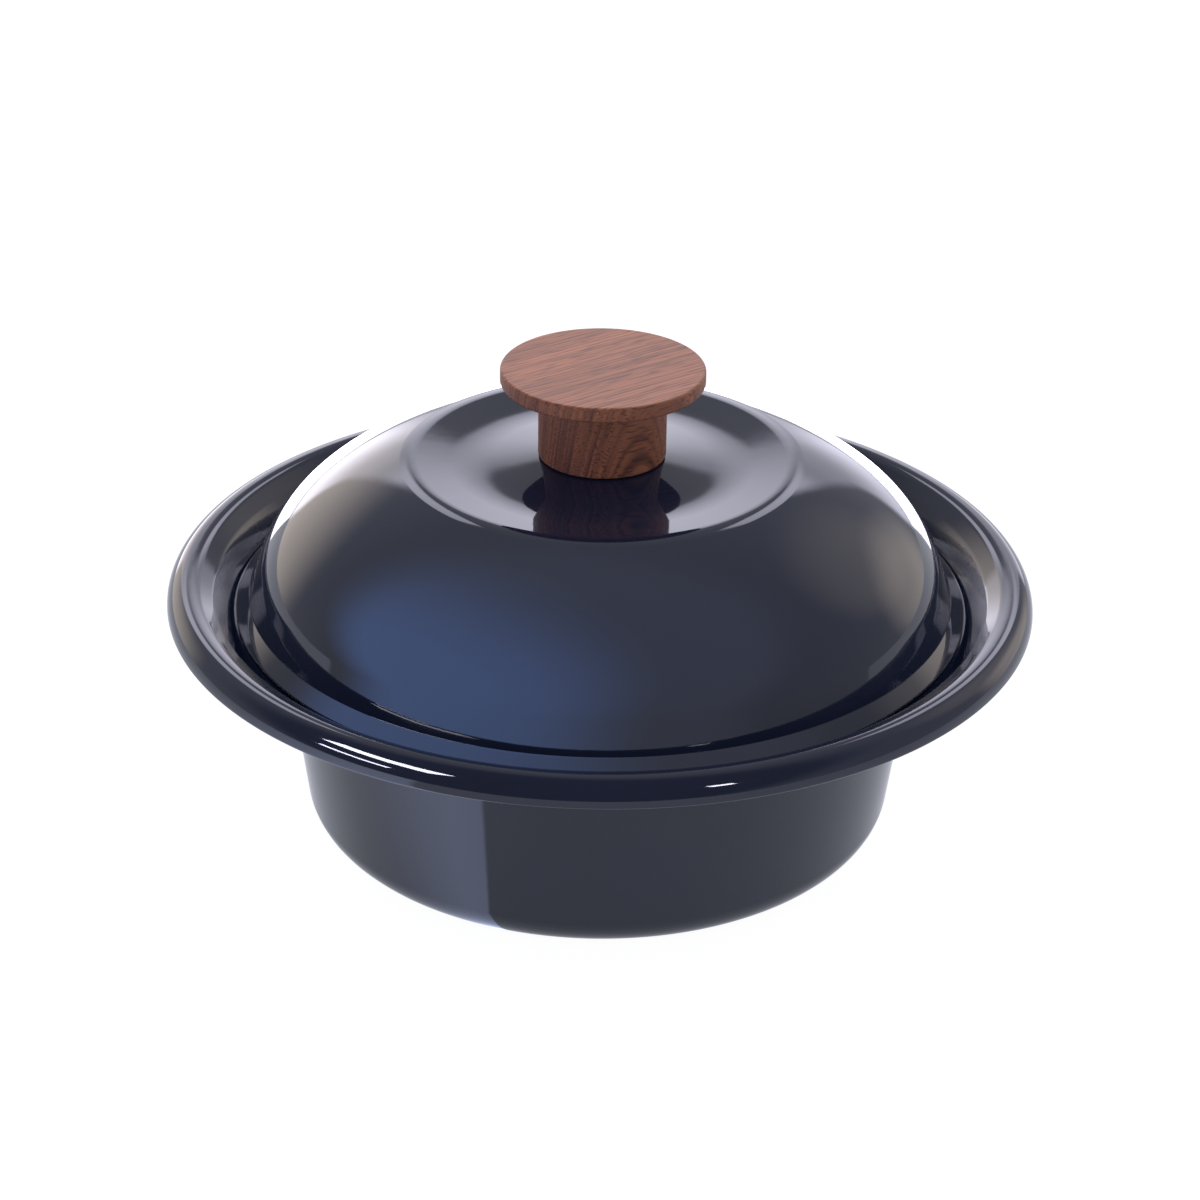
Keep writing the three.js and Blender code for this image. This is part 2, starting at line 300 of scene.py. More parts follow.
class Section:
    """The outline of a turned piece, drawn by moving a tip through the plane of radius and height."""

    def __init__(self, radius, height):
        self.mesh = bmesh.new()
        self.tip = self.mesh.verts.new((radius, 0, height))

    def line(self, radius, height):
        """Draws a straight run."""
        grown = bmesh.ops.extrude_vert_indiv(self.mesh, verts=[self.tip])
        self.tip = grown["verts"][0]
        self.tip.co = (radius, 0, height)

    def arc(self, radius, height, turn):
        """Draws an arc round a centre, anticlockwise for a positive turn, and returns its vertices."""
        reach = (self.tip.co - Vector((radius, 0, height))).length
        steps = max(2, math.ceil(abs(turn) / ARC_STEP), math.ceil(abs(turn) * reach / ARC_RUN))
        first = len(self.mesh.verts)
        swept = bmesh.ops.spin(
            self.mesh, geom=[self.tip], cent=(radius, 0, height), axis=(0, -1, 0), angle=turn, steps=steps
        )
        self.tip = next(part for part in swept["geom_last"] if isinstance(part, bmesh.types.BMVert))
        self.mesh.verts.ensure_lookup_table()
        return self.mesh.verts[first:]

    def bends(self, corners):
        """Draws runs through corners, each a radius, a height and the radius of its rounding."""
        for index, (radius, height, bend) in enumerate(corners):
            if bend == 0:
                self.line(radius, height)
                continue
            corner = Vector((radius, height))
            into = (corner - self.tip.co.xz).normalized()
            out = (Vector(corners[index + 1][:2]) - corner).normalized()
            turn = math.atan2(into.cross(out), into.dot(out))
            start = corner - into * bend * math.tan(abs(turn) / 2)
            centre = start + Vector((-into.y, into.x)) * math.copysign(bend, turn)
            self.line(*start)
            self.arc(*centre, turn)

    def turned(self, name, steps):
        """Spins the outline into a piece round the upright axis."""
        mesh = self.mesh
        outline = mesh.verts[:] + mesh.edges[:]
        bmesh.ops.spin(
            mesh, geom=outline, cent=(0, 0, 0), axis=(0, 0, 1), angle=math.tau, steps=steps, use_merge=True
        )
        bmesh.ops.remove_doubles(mesh, verts=mesh.verts[:], dist=MERGE_DISTANCE)
        bmesh.ops.recalc_face_normals(mesh, faces=mesh.faces[:])
        for face in mesh.faces:
            face.smooth = True
        piece = new_object(name, mesh)
        piece.data.set_sharp_from_angle(angle=SHARP_ANGLE)
        return piece


def give_thickness(piece, sheet):
    """Turns the middle surface of a sheet into the sheet itself, with rounded edges."""
    wall = piece.modifiers.new("Sheet", "SOLIDIFY")
    wall.thickness = sheet
    wall.offset = 0
    wall.use_even_offset = True
    edge = piece.modifiers.new("Edges", "BEVEL")
    edge.width = sheet * EDGE_SHARE
    edge.segments = EDGE_SEGMENTS
    edge.limit_method = "ANGLE"
    edge.angle_limit = EDGE_ANGLE


def flatten_shading(piece):
    """Lets large faces set the normals, so that straight runs don't look curved next to their bends."""
    weighted = piece.modifiers.new("Normals", "WEIGHTED_NORMAL")
    weighted.keep_sharp = True


def place(piece, body, node, material):
    """Puts a finished piece on its body, in the place of its CAD node."""
    piece.data.materials.append(material)
    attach(piece, body)
    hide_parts(node)


def add_node(tree, kind, inputs=None, **settings):
    """Adds a node, sets its attributes, and gives its inputs their values or links."""
    node = tree.nodes.new(kind)
    for name, value in settings.items():
        setattr(node, name, value)
    for socket, value in (inputs or {}).items():
        if isinstance(value, bpy.types.NodeSocket):
            tree.links.new(value, node.inputs[socket])
        else:
            node.inputs[socket].default_value = value
    return node


def new_material(name):
    """An empty node material, with its tree and the Object coordinates of the piece that it is on."""
    material = bpy.data.materials.new(name)
    material.use_nodes = True
    tree = material.node_tree
    tree.nodes.clear()
    return material, tree, add_node(tree, "ShaderNodeTexCoord").outputs["Object"]


def per_size(size):
    """Texture scale at which one cell or wave has a size in metres."""
    return 1 / size


def porcelain_enamel():
    """Glass fired on pressed steel.

    It shows as a deep colour under a mirror-like skin. The skin is a little wavy, because the glaze flows in
    the kiln, and the colour shifts slightly where the glaze ran thinner.
    """
    existing = bpy.data.materials.get("porcelain_enamel")
    if existing:
        return existing
    finishes = bpy.context.scene.enamel_pot.finishes
    material, tree, place_on = new_material("porcelain_enamel")
    cloud = add_node(
        tree, "ShaderNodeTexNoise", {"Vector": place_on, "Scale": per_size(mm(38)), "Detail": 3.0}
    )
    tone = add_node(
        tree,
        "ShaderNodeMix",
        {MIX_FACTOR: cloud.outputs["Fac"], MIX_A: finishes.enamel, MIX_B: finishes.enamel_thin},
        data_type="RGBA",
    )
    haze = add_node(
        tree,
        "ShaderNodeMapRange",
        {"Value": cloud.outputs["Fac"], "From Min": 0.3, "From Max": 0.7, "To Min": 0.035, "To Max": 0.06},
    )
    ripple = add_node(
        tree, "ShaderNodeTexNoise", {"Vector": place_on, "Scale": per_size(mm(7)), "Detail": 1.0}
    )
    skin = add_node(
        tree,
        "ShaderNodeBump",
        {"Height": ripple.outputs["Fac"], "Strength": 1.0, "Distance": mm(0.012)},
    )
    shader = add_node(
        tree,
        "ShaderNodeBsdfPrincipled",
        {
            "Base Color": tone.outputs[MIX_RESULT],
            "Roughness": haze.outputs["Result"],
            "IOR": 1.51,
            "Normal": skin.outputs["Normal"],
        },
    )
    add_node(tree, "ShaderNodeOutputMaterial", {"Surface": shader.outputs["BSDF"]})
    return material


def oiled_hardwood():
    """Reddish-brown hardwood, turned and oiled.

    The fibres run across the knob. The top shows them as fine straight lines, the stem cuts the growth
    layers steeply, and the ends of the fibres show as dots to the left and right.
    """
    finishes = bpy.context.scene.enamel_pot.finishes
    material, tree, place_on = new_material("oiled_hardwood")
    # Texture x runs along the fibres and y across the growth layers
    fibres = add_node(
        tree,
        "ShaderNodeMapping",
        {"Vector": place_on, "Rotation": (math.radians(9.7), 0, math.radians(36))},
        vector_type="TEXTURE",
    )
    sheets = add_node(
        tree, "ShaderNodeMapping", {"Vector": fibres.outputs["Vector"], "Scale": (0.012, 1, 0.02)}
    )
    strands = add_node(
        tree, "ShaderNodeMapping", {"Vector": fibres.outputs["Vector"], "Scale": (0.07, 1, 1)}
    )
    zones = add_node(
        tree,
        "ShaderNodeTexNoise",
        {"Vector": sheets.outputs["Vector"], "Scale": per_size(mm(7)), "Detail": 2.0},
    )
    lines = add_node(
        tree,
        "ShaderNodeTexNoise",
        {"Vector": sheets.outputs["Vector"], "Scale": per_size(mm(0.9)), "Detail": 2.0, "Roughness": 0.6},
    )
    years = add_node(
        tree,
        "ShaderNodeTexWave",
        {
            "Vector": sheets.outputs["Vector"],
            "Scale": WAVE_PERIOD * per_size(mm(1.7)),
            "Distortion": 3.0,
            "Detail": 2.0,
            "Detail Scale": 0.6,
        },
        wave_type="BANDS",
        bands_direction="Y",
        wave_profile="SAW",
    )
    streaks = add_node(
        tree,
        "ShaderNodeMath",
        {0: zones.outputs["Fac"], 1: 0.35, 2: lines.outputs["Fac"]},
        operation="MULTIPLY_ADD",
    )
    grain = add_node(
        tree,
        "ShaderNodeMath",
        {0: years.outputs["Fac"], 1: 0.12, 2: streaks.outputs["Value"]},
        operation="MULTIPLY_ADD",
    )
    share = add_node(
        tree, "ShaderNodeMapRange", {"Value": grain.outputs["Value"], "From Min": 0.48, "From Max": 1.0}
    )
    tone = add_node(
        tree,
        "ShaderNodeMix",
        {MIX_FACTOR: share.outputs["Result"], MIX_A: finishes.wood_dark, MIX_B: finishes.wood_light},
        data_type="RGBA",
    )
    # Real pores are about 0.2 mm wide, and are drawn coarser so that they show
    tubes = add_node(
        tree,
        "ShaderNodeTexNoise",
        {"Vector": strands.outputs["Vector"], "Scale": per_size(mm(0.6)), "Detail": 0.0},
    )
    pores = add_node(
        tree,
        "ShaderNodeMapRange",
        {"Value": tubes.outputs["Fac"], "From Min": 0.57, "From Max": 0.72, "To Max": 0.7},
    )
    pored = add_node(
        tree,
        "ShaderNodeMix",
        {MIX_FACTOR: pores.outputs["Result"], MIX_A: tone.outputs[MIX_RESULT], MIX_B: finishes.wood_pore},
        data_type="RGBA",
    )
    relief = add_node(
        tree,
        "ShaderNodeBump",
        {"Height": tubes.outputs["Fac"], "Strength": 0.5, "Distance": mm(0.05)},
        invert=True,
    )
    shader = add_node(
        tree,
        "ShaderNodeBsdfPrincipled",
        {
            "Base Color": pored.outputs[MIX_RESULT],
            "Roughness": 0.55,
            "IOR": 1.47,
            "Normal": relief.outputs["Normal"],
        },
    )
    add_node(tree, "ShaderNodeOutputMaterial", {"Surface": shader.outputs["BSDF"]})
    return material


def turned_metal(name, tint, roughness):
    """Metal turned on a lathe, with fine concentric tool marks that streak its reflections."""
    material, tree, place_on = new_material(name)
    flat = add_node(tree, "ShaderNodeVectorMath", {0: place_on, 1: (1, 1, 0)}, operation="MULTIPLY")
    radius = add_node(tree, "ShaderNodeVectorMath", {0: flat.outputs["Vector"]}, operation="LENGTH")
    # Real tool marks are finer than a pixel, so they are drawn coarser here
    marks = add_node(
        tree,
        "ShaderNodeTexNoise",
        {"W": radius.outputs["Value"], "Scale": per_size(mm(0.3)), "Detail": 2.0},
        noise_dimensions="1D",
    )
    polish = add_node(
        tree,
        "ShaderNodeMapRange",
        {"Value": marks.outputs["Fac"], "To Min": roughness * 0.8, "To Max": roughness * 1.25},
    )
    grooves = add_node(
        tree, "ShaderNodeBump", {"Height": marks.outputs["Fac"], "Strength": 0.5, "Distance": mm(0.01)}
    )
    shader = add_node(
        tree,
        "ShaderNodeBsdfPrincipled",
        {
            "Base Color": tint,
            "Metallic": 1.0,
            "Roughness": polish.outputs["Result"],
            "Normal": grooves.outputs["Normal"],
        },
    )
    add_node(tree, "ShaderNodeOutputMaterial", {"Surface": shader.outputs["BSDF"]})
    return material


def moulded_silicone(tint):
    """Soft silicone from an eroded mould, matt and very slightly rough."""
    material, tree, place_on = new_material("moulded_silicone")
    grit = add_node(
        tree, "ShaderNodeTexNoise", {"Vector": place_on, "Scale": per_size(mm(0.35)), "Detail": 2.0}
    )
    matt = add_node(
        tree, "ShaderNodeMapRange", {"Value": grit.outputs["Fac"], "To Min": 0.55, "To Max": 0.75}
    )
    skin = add_node(
        tree, "ShaderNodeBump", {"Height": grit.outputs["Fac"], "Strength": 0.4, "Distance": mm(0.03)}
    )
    shader = add_node(
        tree,
        "ShaderNodeBsdfPrincipled",
        {
            "Base Color": tint,
            "Roughness": matt.outputs["Result"],
            "IOR": 1.41,
            "Normal": skin.outputs["Normal"],
        },
    )
    add_node(tree, "ShaderNodeOutputMaterial", {"Surface": shader.outputs["BSDF"]})
    return material


class ENAMELPOT_OT_pot(bpy.types.Operator):
    """Builds the pot: base, tapered wall, ledge, bank and half-round brim"""

    bl_idname = "enamel_pot.pot"
    bl_label = "Pot"

    def execute(self, context):
        sizes = context.scene.enamel_pot.pot
        base_height = sizes.sheet / 2
        wall_height = sizes.ledge_height - base_height
        base_radius = sizes.mouth_radius - wall_height * math.tan(sizes.wall_taper)
        bank_radius = sizes.ledge_radius + sizes.bank_run
        bank_height = sizes.ledge_height + sizes.bank_rise
        centre_radius = sizes.outer_radius - sizes.sheet / 2 - sizes.brim_bend
        start_radius = centre_radius - sizes.brim_bend * math.sin(sizes.brim_slope)
        start_height = bank_height + (start_radius - bank_radius) * math.tan(sizes.brim_slope)
        centre_height = start_height - sizes.brim_bend * math.cos(sizes.brim_slope)
        section = Section(0, base_height)
        section.bends([
            (base_radius, base_height, sizes.base_bend),
            (sizes.mouth_radius, sizes.ledge_height, sizes.mouth_bend),
            (sizes.ledge_radius, sizes.ledge_height, sizes.ledge_bend),
            (bank_radius, bank_height, sizes.bank_bend),
            (start_radius, start_height, 0),
        ])
        section.arc(centre_radius, centre_height, -sizes.brim_turn)
        piece = section.turned("pot_enamelled", ROUND_STEPS)
        give_thickness(piece, sizes.sheet)
        flatten_shading(piece)
        place(piece, "pot", "pot_body", porcelain_enamel())
        return {"FINISHED"}


class ENAMELPOT_OT_lid(bpy.types.Operator):
    """Builds the lid: boss, dished crown, dome, skirt and flange"""

    bl_idname = "enamel_pot.lid"
    bl_label = "Lid"

    def execute(self, context):
        sizes = context.scene.enamel_pot.lid
        dome_radius = sizes.dome_radius
        dome_height = sizes.dome_height
        flattening = sizes.dome_rise / dome_radius
        # The dome's arc starts where the ridge has run out
        ridge_end = sizes.ring_radius + sizes.ring_bend / 4
        start_turn = math.acos(ridge_end / dome_radius)
        ring_height = dome_height + flattening * math.sqrt(dome_radius ** 2 - sizes.ring_radius ** 2)
        ridge_end_height = dome_height + flattening * math.sqrt(dome_radius ** 2 - ridge_end ** 2)
        crown_height = ring_height + sizes.boss_above_ring
        section = Section(sizes.hole_radius, crown_height)
        section.bends([
            (sizes.boss_radius, crown_height, sizes.boss_bend),
            (sizes.valley_radius, crown_height - sizes.valley_depth, sizes.valley_bend),
            (sizes.ring_radius, ring_height, sizes.ring_bend),
            (ridge_end, ridge_end_height, 0),
        ])
        # A circle's arc, flattened in height, gives the ellipse
        dome_start = section.tip
        dome_start.co.z = dome_height + (ridge_end_height - dome_height) / flattening
        skirt_turn = math.atan(math.tan(sizes.skirt_lean) * flattening)
        circle = [dome_start, *section.arc(0, dome_height, skirt_turn - start_turn)]
        squeeze = Matrix.Translation((0, 0, -dome_height))
        bmesh.ops.scale(section.mesh, vec=(1, 1, flattening), space=squeeze, verts=circle)
        skirt_top = section.tip.co
        flange_height = skirt_top.z - (sizes.flange_radius - skirt_top.x) / math.tan(sizes.skirt_lean)
        edge_middle = sizes.edge_radius - sizes.sheet * 0.3
        edge_height = flange_height - (edge_middle - sizes.flange_radius) * math.tan(sizes.flange_slope)
        section.bends([
            (sizes.flange_radius, flange_height, sizes.flange_bend),
            (edge_middle, edge_height, 0),
        ])
        piece = section.turned("lid_enamelled", ROUND_STEPS)
        give_thickness(piece, sizes.sheet)
        flatten_shading(piece)
        place(piece, "lid", "lid_shell", porcelain_enamel())
        return {"FINISHED"}


class ENAMELPOT_OT_knob(bpy.types.Operator):
    """Builds the knob: a disc and a stem turned from one piece of wood"""

    bl_idname = "enamel_pot.knob"
    bl_label = "Knob"

    def execute(self, context):
        sizes = context.scene.enamel_pot.knob
        foot = KNOB_LOW.z
        top = KNOB_HIGH.z
        disc_foot = top - sizes.disc_thickness
        pocket_top = foot + sizes.pocket_depth
        collar_top = pocket_top + sizes.collar_depth
        hole_top = foot + sizes.hole_depth
        section = Section(0, hole_top)
        section.bends([
            (sizes.hole_radius, hole_top, 0),
            (sizes.hole_radius, collar_top, 0),
            (sizes.collar_radius, collar_top, 0),
            (sizes.collar_radius, pocket_top, 0),
            (sizes.pocket_radius, pocket_top, 0),
            (sizes.pocket_radius, foot, 0),
            (sizes.stem_radius, foot, sizes.stem_edge),
            (sizes.stem_radius, disc_foot, sizes.stem_fillet),
            (sizes.disc_radius, disc_foot, sizes.disc_edge),
            (sizes.disc_radius, top, sizes.disc_edge),
            (0, top, 0),
        ])
        piece = section.turned("knob_turned", ROUND_STEPS)
        flatten_shading(piece)
        place(piece, "lid", "knob", oiled_hardwood())
        return {"FINISHED"}


def cross_cutter(sizes):
    """Two crossed bars that narrow upwards, which cut the recess into the foot of the screw head."""
    bars = bmesh.new()
    for quarter in (0, math.pi / 2):
        grown = bmesh.ops.create_cube(bars, size=1)["verts"]
        span = (sizes.cross_length, sizes.cross_width, 2 * sizes.cross_depth)
        bmesh.ops.scale(bars, vec=span, verts=grown)
        narrow_end = [vert for vert in grown if vert.co.z > 0]
        bmesh.ops.scale(bars, vec=CROSS_TAPER, verts=narrow_end)
        bmesh.ops.rotate(bars, cent=(0, 0, 0), matrix=Matrix.Rotation(quarter, 3, "Z"), verts=grown)
        bmesh.ops.translate(bars, vec=(0, 0, SCREW_LOW.z), verts=grown)
    return new_object("cross_cutter", bars)


def cut(piece, cutter):
    """Takes the cutter out of the piece for good."""
    difference = piece.modifiers.new("Recess", "BOOLEAN")
    difference.object = cutter
    difference.use_self = True
    graph = bpy.context.evaluated_depsgraph_get()
    piece.data = bpy.data.meshes.new_from_object(piece.evaluated_get(graph))
    piece.modifiers.clear()
    piece.data.set_sharp_from_angle(angle=SHARP_ANGLE)
    bpy.data.objects.remove(cutter)


class ENAMELPOT_OT_fixing(bpy.types.Operator):
    """Builds the screw, its insert in the stem, the gasket, the seal and the washer"""

    bl_idname = "enamel_pot.fixing"
    bl_label = "Fixing"

    def execute(self, context):
        sizes = context.scene.enamel_pot.fixing
        finishes = context.scene.enamel_pot.finishes
        stainless = turned_metal("turned_stainless_steel", finishes.stainless, 0.3)
        silicone = moulded_silicone(finishes.silicone)
        self.add_screw(sizes, stainless)
        self.add_insert(sizes, turned_metal("turned_brass", finishes.brass, 0.32))
        self.add_ring("gasket_moulded", "knob_gasket", sizes.soft_bore, sizes, "silicone", silicone)
        self.add_ring("seal_moulded", "screw_seal", sizes.soft_bore, sizes, "silicone", silicone)
        self.add_ring("washer_stamped", "screw_washer", sizes.metal_bore, sizes, "stainless", stainless)
        return {"FINISHED"}

    def add_screw(self, sizes, metal):
        """Adds the pan head screw, head downwards, with its cross recess."""
        head_top = SCREW_LOW.z + sizes.head_height
        tip_radius = sizes.shank_radius - sizes.tip_chamfer
        section = Section(0, SCREW_LOW.z)
        section.bends([
            (SCREW_HIGH.x, SCREW_LOW.z, sizes.head_edge),
            (SCREW_HIGH.x, head_top, sizes.broken_edge),
            (sizes.shank_radius, head_top, 0),
            (sizes.shank_radius, SCREW_HIGH.z - sizes.tip_chamfer, 0),
            (tip_radius, SCREW_HIGH.z, 0),
            (0, SCREW_HIGH.z, 0),
        ])
        piece = section.turned("screw_pan_head", FIXING_ROUND_STEPS)
        cut(piece, cross_cutter(sizes))
        place(piece, "lid", "knob_screw", metal)

    def add_insert(self, sizes, metal):
        """Adds the flanged sleeve that sits in the stem."""
        flange_top = INSERT_LOW.z + sizes.insert_flange
        middle = (INSERT_LOW.z + INSERT_HIGH.z) / 2
        section = Section(sizes.metal_bore, middle)
        section.bends([
            (sizes.metal_bore, INSERT_LOW.z, sizes.broken_edge),
            (INSERT_HIGH.x, INSERT_LOW.z, sizes.broken_edge),
            (INSERT_HIGH.x, flange_top, sizes.broken_edge),
            (sizes.insert_radius, flange_top, 0),
            (sizes.insert_radius, INSERT_HIGH.z, sizes.broken_edge),
            (sizes.metal_bore, INSERT_HIGH.z, sizes.broken_edge),
            (sizes.metal_bore, middle, 0),
        ])
        piece = section.turned("insert_flanged", FIXING_ROUND_STEPS)
        place(piece, "lid", "knob_insert", metal)

    def add_ring(self, name, node, bore, sizes, slot, material):
        """Adds a flat ring in the place of its CAD node."""
        low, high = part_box(node)
        middle = (low.z + high.z) / 2
        section = Section(bore, middle)
        section.bends([
            (bore, low.z, sizes.broken_edge),
            (high.x, low.z, sizes.broken_edge),
            (high.x, high.z, sizes.broken_edge),
            (bore, high.z, sizes.broken_edge),
            (bore, middle, 0),
        ])
        piece = section.turned(name, FIXING_ROUND_STEPS)
        place(piece, "lid", node, material)


def direction(azimuth, elevation):
    """Unit vector of a direction, with azimuth 0 behind the pot and positive to the right, in degrees."""
    turn = math.radians(azimuth)
    rise = math.radians(elevation)
    return Vector((math.sin(turn) * math.cos(rise), math.cos(turn) * math.cos(rise), math.sin(rise)))


def lit_pieces(name, pieces):
    """A collection of the pieces that a lamp is meant for."""
    group = bpy.data.collections.new(name)
    for piece in pieces:
        group.objects.link(bpy.data.objects[piece])
    return group


def add_softbox(name, azimuth, elevation, distance, width, height, level, tint, lights):
    """Adds a rectangular lamp that faces the pot, with a given brightness, for some of the pieces."""
    data = bpy.data.lights.new(name, "AREA")
    data.shape = "RECTANGLE"
    data.size = width
    data.size_y = height
    data.energy = 4 * width * height * level
    data.color = tint[:3]
    lamp = bpy.data.objects.new(name, data)
    towards = direction(azimuth, elevation)
    aim = Vector((0, 0, (POT_HIGH.z + KNOB_HIGH.z) / 2))
    turn = towards.to_track_quat("Z", "Y").to_matrix().to_4x4()
    lamp.matrix_world = Matrix.Translation(aim + towards * distance) @ turn
    lamp.visible_camera = False
    lamp.light_linking.receiver_collection = lights
    bpy.context.scene.collection.objects.link(lamp)
    return lamp


def add_glow(tree, kind, ray, light, towards, wide, narrow, level, tint):
    """Adds a round patch of light in one direction, which fades out between two angles in degrees."""
    cosine = add_node(tree, "ShaderNodeVectorMath", {0: ray, 1: towards}, operation="DOT_PRODUCT")
    patch = add_node(
        tree,
        "ShaderNodeMapRange",
        {
            "Value": cosine.outputs["Value"],
            "From Min": math.cos(math.radians(wide)),
            "From Max": math.cos(math.radians(narrow)),
            "To Max": level,
        },
        interpolation_type="SMOOTHSTEP",
    )
    glow = add_node(tree, kind, {"Color": tint, "Strength": patch.outputs["Result"]})
    return add_node(tree, "ShaderNodeAddShader", {0: light, 1: glow.outputs[0]}).outputs["Shader"]


class ENAMELPOT_OT_stage(bpy.types.Operator):
    """Sets the floor, the light and the camera"""

    bl_idname = "enamel_pot.stage"
    bl_label = "Stage"

    def execute(self, context):
        look = context.scene.enamel_pot.stage
        scene = context.scene
        scene.view_settings.view_transform = "Standard"

        # Floor: white to the eye, with a faint shadow
        outline = bmesh.new()
        bmesh.ops.create_circle(outline, cap_ends=True, segments=128, radius=FLOOR_RADIUS)
        floor = new_object("floor", outline)
        floor.data.materials.append(studio_floor(look))

        set_world(scene, look)
        lid_only = lit_pieces("lit_lid", ("lid_enamelled",))
        pot_only = lit_pieces("lit_pot", ("pot_enamelled",))
        knob_only = lit_pieces("lit_knob", ("knob_turned",))
        add_painted_reflector(look, lid_only)
        add_softbox("top", 0, 60, 1.2, 0.8, 0.8, look.top_level, look.warm_colour, knob_only)
        # Small lamps that show as streaks on the brim and add nothing to its colour, with their azimuth and
        # elevation in degrees and their width and height in metres
        for name, azimuth, elevation, width, height in (
            ("strip_high", -115, 46, 0.75, 0.26),
            ("strip_low", -118, 22, 0.5, 0.1),
            ("spot", 146, 40, 0.14, 0.14),
        ):
            lamp = add_softbox(
                name, azimuth, elevation, 1.5, width, height, look.strip_level, look.back_colour, pot_only
            )
            lamp.visible_diffuse = False
        self.light_sheet(look, lid_only)

        camera_data = bpy.data.cameras.new("camera")
        camera_data.lens = look.focal_length
        camera_data.sensor_width = SENSOR_WIDTH
        camera = bpy.data.objects.new("camera", camera_data)
        pitch = Matrix.Rotation(math.pi / 2 - CAMERA_PITCH, 4, "X")
        roll = Matrix.Rotation(CAMERA_ROLL, 4, "Z")
        camera.matrix_world = Matrix.Translation(CAMERA_PLACE) @ pitch @ roll
        scene.collection.objects.link(camera)
        scene.camera = camera
        return {"FINISHED"}

    def light_sheet(self, look, lights):
        """Lights the floor behind the pot upwards, in two strips that end at the softbox's sides."""
        for name, side in (("sheet_left", -1), ("sheet_right", 1)):
            edge = side * math.degrees(look.back_width + look.back_flare)
            inwards = direction(edge - side * 90, 0)
            width = 0.6
            corner = Vector((side * 0.09, 0, mm(2)))
            middle = corner + direction(edge, 0) * 1.5 + inwards * width / 2
            lamp = add_softbox(name, 0, 90, 1, width, 2.6, look.sheet_level, look.back_colour, lights)
            along = Matrix.Rotation(-math.radians(edge), 4, "Z")
            lamp.matrix_world = Matrix.Translation(middle) @ along @ Matrix.Rotation(math.pi, 4, "X")


def seen_directly(tree, rays):
    """Is 1 for rays from the camera and for rays that came through something clear."""
    return add_node(
        tree,
        "ShaderNodeMath",
        {0: rays.outputs["Is Camera Ray"], 1: rays.outputs["Is Transmission Ray"]},
        operation="MAXIMUM",
    ).outputs["Value"]


def painted_floor_daylight(tree, place_on, rays, look):
    """Painted daylight on the floor: an emission that stands in for a pool of light, seen in reflections
    alone.

    A brighter painted wedge of light lies at the front left. It has one sharp side, and the wall mirrors it
    as a panel.
    """
    tip = (mm(-24), mm(-80), 0)
    beside = add_node(tree, "ShaderNodeVectorMath", {0: place_on, 1: tip}, operation="SUBTRACT")
    axes = add_node(tree, "ShaderNodeSeparateXYZ", {0: beside.outputs["Vector"]})
    turn = add_node(
        tree, "ShaderNodeMath", {0: axes.outputs["X"], 1: axes.outputs["Y"]}, operation="ARCTAN2"
    )
    sharp = add_node(
        tree,
        "ShaderNodeMapRange",
        {"Value": turn.outputs["Value"], "From Min": math.radians(-137.5), "From Max": math.radians(-135)},
    )
    soft = add_node(
        tree,
        "ShaderNodeMapRange",
        {
            "Value": turn.outputs["Value"],
            "From Min": math.radians(-70),
            "From Max": math.radians(-125),
            "To Max": look.painted_wedge_level,
        },
        interpolation_type="SMOOTHSTEP",
    )
    level = add_node(
        tree,
        "ShaderNodeMath",
        {0: sharp.outputs["Result"], 1: soft.outputs["Result"], 2: look.painted_daylight_level},
        operation="MULTIPLY_ADD",
    )
    strength = add_node(
        tree,
        "ShaderNodeMath",
        {0: level.outputs["Value"], 1: rays.outputs["Is Glossy Ray"]},
        operation="MULTIPLY",
    ).outputs["Value"]
    return add_node(tree, "ShaderNodeEmission", {"Color": look.daylight, "Strength": strength})


def studio_floor(look):
    """Matt white sheet under the pot.

    It is white to the eye with a faint shadow, and an ordinary pale floor where it lights the pot.
    """
    material, tree, place_on = new_material("white_studio_sheet")
    rays = add_node(tree, "ShaderNodeLightPath")
    seen = seen_directly(tree, rays)
    mirrored = add_node(
        tree,
        "ShaderNodeMath",
        {0: rays.outputs["Is Glossy Ray"], 1: look.floor_mirrored},
        operation="MULTIPLY",
    )
    shown = add_node(
        tree, "ShaderNodeMath", {0: seen, 1: mirrored.outputs["Value"]}, operation="MAXIMUM"
    )
    plain = add_node(tree, "ShaderNodeBsdfDiffuse", {"Color": look.floor})
    shaded = add_node(tree, "ShaderNodeBsdfDiffuse", {"Color": FLOOR_SHADE})
    bright = add_node(tree, "ShaderNodeEmission", {"Color": WHITE, "Strength": FLOOR_WHITE})
    white = add_node(tree, "ShaderNodeAddShader", {0: shaded.outputs["BSDF"], 1: bright.outputs["Emission"]})
    surface = add_node(
        tree,
        "ShaderNodeMixShader",
        {0: shown.outputs["Value"], 1: plain.outputs["BSDF"], 2: white.outputs["Shader"]},
    )
    # Painted pool of daylight, added as emission that reflections alone show
    daylight = painted_floor_daylight(tree, place_on, rays, look)
    lit = add_node(
        tree, "ShaderNodeAddShader", {0: surface.outputs["Shader"], 1: daylight.outputs["Emission"]}
    )
    add_node(tree, "ShaderNodeOutputMaterial", {"Surface": lit.outputs["Shader"]})
    material.cycles.emission_sampling = "NONE"
    return material


